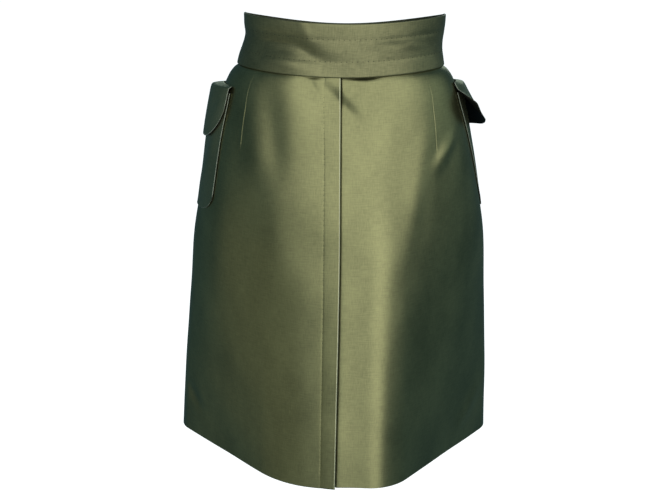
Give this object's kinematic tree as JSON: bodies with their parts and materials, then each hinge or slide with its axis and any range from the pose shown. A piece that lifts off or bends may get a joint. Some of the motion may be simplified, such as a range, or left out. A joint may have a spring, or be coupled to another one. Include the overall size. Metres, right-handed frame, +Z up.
{
  "type": "satin skirt",
  "caption": "Knee-length A-line satin skirt, hollow as worn, with a high waistband, lapped centre front, darts and flapped pockets standing off both hips.",
  "frame": {"origin": "centre of the waist opening, level with the waistband's lower edge at the side seams; the wearer's waist holds it there", "axes": "+Z up from hem to waistband, -Y the front, +X the wearer's left"},
  "size_m": [0.4248, 0.298, 0.5662],
  "materials": {
    "satin": "heavy olive-green satin, soft metallic sheen",
    "flap_facing": "plain near-black lining cloth"
  },
  "bodies": {
    "root": {"waistband_front": "satin", "waistband_back": "satin", "front_right_panel": "satin", "front_left_panel": "satin", "back_panel": "satin", "pocket_right": "satin", "pocket_left": "satin", "pocket_right_flap": "satin", "pocket_left_flap": "satin", "pocket_right_flap_facing": "flap_facing", "pocket_left_flap_facing": "flap_facing"}
  },
  "joints": []
}
